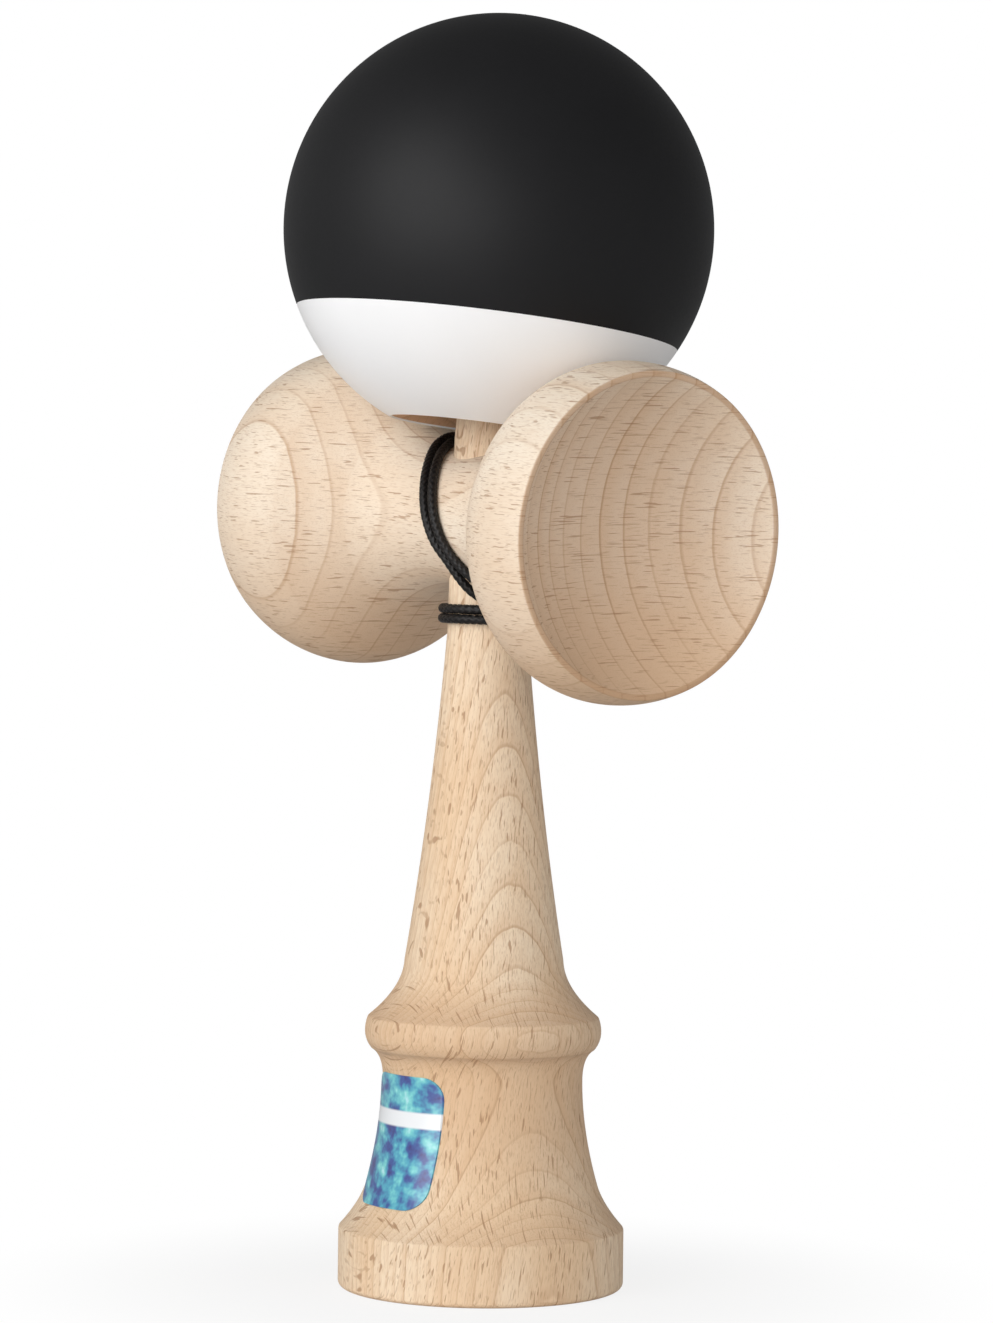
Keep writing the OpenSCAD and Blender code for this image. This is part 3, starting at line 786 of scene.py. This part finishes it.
# the ball: a bored core under two films of paint
def sphereArc(r, lowW, highW, n):
    return arc((0, 0), r, math.degrees(math.asin(lowW / r)), math.degrees(math.asin(highW / r)), n)


sinkW = ball["r"] - (ball["sinkR"] - ball["topHoleR"])


def bevelMeets(r):
    # height where the 45 degree mouth bevel meets a sphere of radius r
    k = ball["mouthR"] + mouthW
    return (k - math.sqrt(2 * r * r - k * k)) / 2


def sinkMeets(r):
    # height where the countersink meets a sphere of radius r
    k = sinkW - ball["topHoleR"]
    return (k + math.sqrt(2 * r * r - k * k)) / 2


ballWood = beech("ballBeech", dict(
    beechLook, fibre=tuple(ballAxis), layer=(1, 0, 0), middle=tuple(ballC), pale=(0.80, 0.52, 0.34),
    warm=(0.67, 0.41, 0.25), late=(0.52, 0.30, 0.17), end=(0.62, 0.37, 0.22)))
innerR = ball["r"] - ball["paint"]
coreR = innerR - ball["filmGap"]
bevel = ball["mouthR"] - ball["holeR"]
coreOutline = ([(ball["topHoleR"], holeTop), (ball["holeR"], holeTop), (ball["holeR"], mouthW + bevel)]
               + sphereArc(coreR, bevelMeets(coreR), sinkMeets(coreR), ball["coreSteps"])
               + [(ball["topHoleR"], sinkW)])
coreBall = turned("ballCore", coreOutline, ball["turns"], ballPlace, closed=True)
coreBall.data.materials.append(ballWood)
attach(coreBall, "tama")
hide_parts("tama_core")

paintLook = dict(grain=2600, broad=60, broadCut=(0.3, 0.7), spread=0.04, bumpDepth=0.00002)
darkLook = dict(paintLook, colour=(0.0072, 0.0072, 0.008), other=(0.0082, 0.0082, 0.0091), rough=0.53,
                shine=0.23, bump=0.2)
paleLook = dict(paintLook, colour=(0.88, 0.88, 0.885), other=(0.865, 0.865, 0.87), rough=0.4, shine=0.45,
                bump=0.1)


def softPaint(name, p):
    # a film with fine grain, a little uneven in gloss
    material, tree, shader = newMaterial(name, p["colour"])
    place = coords(tree)
    grain = noise(tree, place, p["grain"])
    broad = noise(tree, place, p["broad"])
    shade = mixed(tree, smooth(tree, broad, *p["broadCut"]), p["colour"], p["other"])
    link(tree, shade, shader.inputs["Base Color"])
    rough = ranged(tree, grain, 0, 1, p["rough"] - p["spread"], p["rough"] + p["spread"])
    link(tree, rough, shader.inputs["Roughness"])
    shader.inputs["Specular IOR Level"].default_value = p["shine"]
    bumped(tree, shader, grain, p["bump"], p["bumpDepth"])
    return material


def film(name, edges, finish, node):
    # edges gives the film's lowest and highest height on a sphere of radius r
    outer = sphereArc(ball["r"], *edges(ball["r"]), ball["filmSteps"])
    inner = sphereArc(innerR, *edges(innerR), ball["filmSteps"])
    piece = turned(name, outer + inner[::-1], ball["turns"], ballPlace, closed=True)
    piece.data.materials.append(finish)
    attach(piece, "tama")
    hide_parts(node)


film("darkFilm", lambda r: (lineW, sinkMeets(r)), softPaint("darkPaint", darkLook),
     "tama_dark_coat")
film("paleFilm", lambda r: (bevelMeets(r), lineW), softPaint("palePaint", paleLook),
     "tama_pale_coat")
print("ball made")

knotLook = dict(plain=(0.017, 0.016, 0.016), deep=(0.008, 0.008, 0.008), high=(0.035, 0.033, 0.032),
                grain=3500, cut=(0.3, 0.7), rough=0.65, bump=0.5, bumpDepth=0.00005)


def knotMaterial(look):
    material, tree, shader = newMaterial("blackKnot", look["plain"])
    threads = noise(tree, coords(tree), look["grain"])
    shade = mixed(tree, smooth(tree, threads, *look["cut"]), look["deep"], look["high"])
    link(tree, shade, shader.inputs["Base Color"])
    shader.inputs["Roughness"].default_value = look["rough"]
    bumped(tree, shader, threads, look["bump"], look["bumpDepth"])
    return material


# plain small pieces keep their solids
blackKnot = knotMaterial(knotLook)
for name, finish in (("bead", ballWood), ("bead_knot", blackKnot), ("ken_knot", blackKnot)):
    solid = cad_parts[name].data
    solid.materials.clear()
    solid.materials.append(finish)

# a small generic label that hugs the neck
labelSize = dict(w=15, h=18, corner=3, z=21.3, t=0.2, gap=0.02, rings=18, step=0.6, sharp=60)
neckLine = [(h, r) for r, h in stickOutline(stick, tipZ) if h > stick["bandH"] + stick["softEdge"]]


def stickRadius(z):
    for (z0, r0), (z1, r1) in zip(neckLine, neckLine[1:]):
        if z0 <= z <= z1:
            return r0 + (r1 - r0) * (z - z0) / max(z1 - z0, tiny)
    raise ValueError(z)


def labelEdge(size):
    rounded = []
    for sx, sz, start in ((1, 1, 0), (-1, 1, 90), (-1, -1, 180), (1, -1, 270)):
        centre = (sx * (size["w"] / 2 - size["corner"]), sz * (size["h"] / 2 - size["corner"]))
        rounded += arc(centre, size["corner"], start, start + 90, n=8)
    points = []
    for a, b in zip(rounded, rounded[1:] + rounded[:1]):
        a, b = Vector(a), Vector(b)
        parts = max(1, round((b - a).length / size["step"]))
        points += [tuple(a.lerp(b, k / parts)) for k in range(parts)]
    return points


def labelPiece(size):
    edge = labelEdge(size)
    mesh = bmesh.new()
    flat = mesh.loops.layers.uv.new("flat")
    where = {}

    def lifted(x, z, height):
        r = stickRadius(size["z"] + z) + size["gap"] + height
        vert = mesh.verts.new(Vector((x, -math.sqrt(r * r - x * x), size["z"] + z)) * mm)
        where[vert] = (x / size["h"] + 0.5, z / size["h"] + 0.5)
        return vert

    def ringAt(k, height):
        return [lifted(x * k / size["rings"], z * k / size["rings"], height) for x, z in edge]

    front = [ringAt(k, size["t"]) for k in range(1, size["rings"] + 1)]
    back = [ringAt(k, 0) for k in range(size["rings"], 0, -1)]
    middles = (lifted(0, 0, size["t"]), lifted(0, 0, 0))
    rings = front + back
    count = len(edge)
    for low, high in zip(rings, rings[1:]):
        for k in range(count):
            mesh.faces.new((low[k], low[(k + 1) % count], high[(k + 1) % count], high[k]))
    for k in range(count):
        mesh.faces.new((middles[0], front[0][k], front[0][(k + 1) % count]))
        mesh.faces.new((middles[1], back[-1][(k + 1) % count], back[-1][k]))
    bmesh.ops.recalc_face_normals(mesh, faces=mesh.faces)
    for face in mesh.faces:
        for loop in face.loops:
            loop[flat].uv = where[loop.vert]
    data = bpy.data.meshes.new("neckLabel")
    mesh.to_mesh(data)
    mesh.free()
    return newPiece("neckLabel", smoothShaded(data, size["sharp"]))


labelLook = dict(
    plain=(0.12, 0.3, 0.5), cloud=5.5, detail=3.0, cloudRough=0.55, stripe=(0.82, 0.84, 0.86),
    stripeLow=(0.60, 0.62), stripeHigh=(0.74, 0.72), rough=0.3, coat=0.4, coatRough=0.15,
    stops=[(0.3, (0.05, 0.03, 0.16)), (0.42, (0.05, 0.1, 0.32)), (0.52, (0.08, 0.36, 0.5)),
           (0.62, (0.2, 0.62, 0.62)), (0.74, (0.55, 0.8, 0.86))])


def labelMaterial(look):
    # soft clouds of blue, teal and violet with a pale stripe across
    material, tree, shader = newMaterial("labelFilm", look["plain"])
    flat = addNode(tree, "ShaderNodeUVMap", uv_map="flat").outputs[0]
    split = addNode(tree, "ShaderNodeSeparateXYZ")
    link(tree, flat, split.inputs[0])
    ramp = addNode(tree, "ShaderNodeValToRGB")
    elements = ramp.color_ramp.elements
    while len(elements) < len(look["stops"]):
        elements.new(0.5)
    for element, (place, colour) in zip(elements, look["stops"]):
        element.position = place
        element.color = (*colour, 1)
    link(tree, noise(tree, flat, look["cloud"], look["detail"], look["cloudRough"]), ramp.inputs[0])
    up = split.outputs["Y"]
    stripe = times(tree, smooth(tree, up, *look["stripeLow"]), smooth(tree, up, *look["stripeHigh"]))
    link(tree, mixed(tree, stripe, ramp.outputs[0], look["stripe"]), shader.inputs["Base Color"])
    shader.inputs["Roughness"].default_value = look["rough"]
    shader.inputs["Coat Weight"].default_value = look["coat"]
    shader.inputs["Coat Roughness"].default_value = look["coatRough"]
    return material


label = labelPiece(labelSize)
label.data.materials.append(labelMaterial(labelLook))
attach(label, "ken")
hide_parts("label")
print("label made")

# pale floor, white behind it, soft light from the camera's left
studio = dict(
    floor=6.0, floorColour=(0.8, 0.8, 0.8), floorRough=0.9, shade=0.16, shadeNear=0.02, shadeFar=0.08,
    lightWay=(0.41, -0.91, 0), frontLight=0.56, backLight=0.24, overFull=0.8, overShare=0.4, glossShare=0.05)
lamps = dict(
    keyLamp=dict(place=(0.12, -0.92, 0.42), size=0.9, power=6.5, mirrored=True),
    frontLamp=dict(place=(0.6, -0.75, 0.06), size=0.6, power=3.3, mirrored=True),
    sideLamp=dict(place=(0.85, 0.5, 0.2), size=1.3, power=4.2, mirrored=False))
lampAim = Vector((0, 0, 0.1))


def seenShare(tree):
    # 1 for a ray that shows the background, and a share of it in a reflection
    rays = addNode(tree, "ShaderNodeLightPath").outputs
    clear = maths(tree, "MAXIMUM", rays["Is Camera Ray"], rays["Is Transmission Ray"])
    return maths(tree, "MAXIMUM", clear, times(tree, rays["Is Glossy Ray"], studio["glossShare"]))


def blended(tree, share, a, b, output):
    node = addNode(tree, "ShaderNodeMixShader")
    link(tree, share, node.inputs[0])
    link(tree, a.outputs[0], node.inputs[1])
    link(tree, b.outputs[0], node.inputs[2])
    link(tree, node.outputs[0], tree.nodes[output].inputs[0])


def floorMaterial():
    # white where it is seen, with a soft shadow only close to the object
    material, tree, shader = newMaterial("paleFloor", studio["floorColour"])
    shader.inputs["Roughness"].default_value = studio["floorRough"]
    away = smooth(tree, lengthOf(tree, coords(tree)), studio["shadeNear"], studio["shadeFar"])
    white = plus(tree, times(tree, away, studio["shade"]), 1 - studio["shade"])
    glow = addNode(tree, "ShaderNodeEmission")
    blended(tree, times(tree, seenShare(tree), white), shader, glow, "Material Output")
    return material


def studioFloor():
    data = bpy.data.meshes.new("studioFloor")
    side = studio["floor"]
    corners = [(-side, -side, 0), (side, -side, 0), (side, side, 0), (-side, side, 0)]
    data.from_pydata(corners, [], [(0, 1, 2, 3)])
    piece = newPiece("studioFloor", data)
    data.materials.append(floorMaterial())


def studioWorld():
    # soft light from all round, less of it from behind and from straight above
    world = bpy.data.worlds.new("studioWorld")
    bpy.context.scene.world = world
    world.use_nodes = True
    tree = world.node_tree
    plain = tree.nodes["Background"]
    white = addNode(tree, "ShaderNodeBackground")
    for background in (plain, white):
        background.inputs["Color"].default_value = (1, 1, 1, 1)
    way = coords(tree, "Generated")
    toFront = dotted(tree, way, studio["lightWay"])
    front = ranged(tree, toFront, -1, 1, studio["backLight"], studio["frontLight"])
    over = ranged(tree, dotted(tree, way, (0, 0, 1)), 0, studio["overFull"], 1, studio["overShare"])
    link(tree, times(tree, front, over), plain.inputs["Strength"])
    blended(tree, seenShare(tree), plain, white, "World Output")


def softLamp(name, lamp):
    data = bpy.data.lights.new(name, "AREA")
    data.shape = "DISK"
    data.size = lamp["size"]
    data.energy = lamp["power"]
    piece = newPiece(name, data)
    piece.visible_glossy = lamp["mirrored"]
    piece.location = lamp["place"]
    piece.rotation_euler = (lampAim - Vector(lamp["place"])).to_track_quat("-Z", "Y").to_euler()


studioFloor()
studioWorld()
for name, lamp in lamps.items():
    softLamp(name, lamp)
bpy.context.scene.view_settings.view_transform = "Standard"
print("studio set")
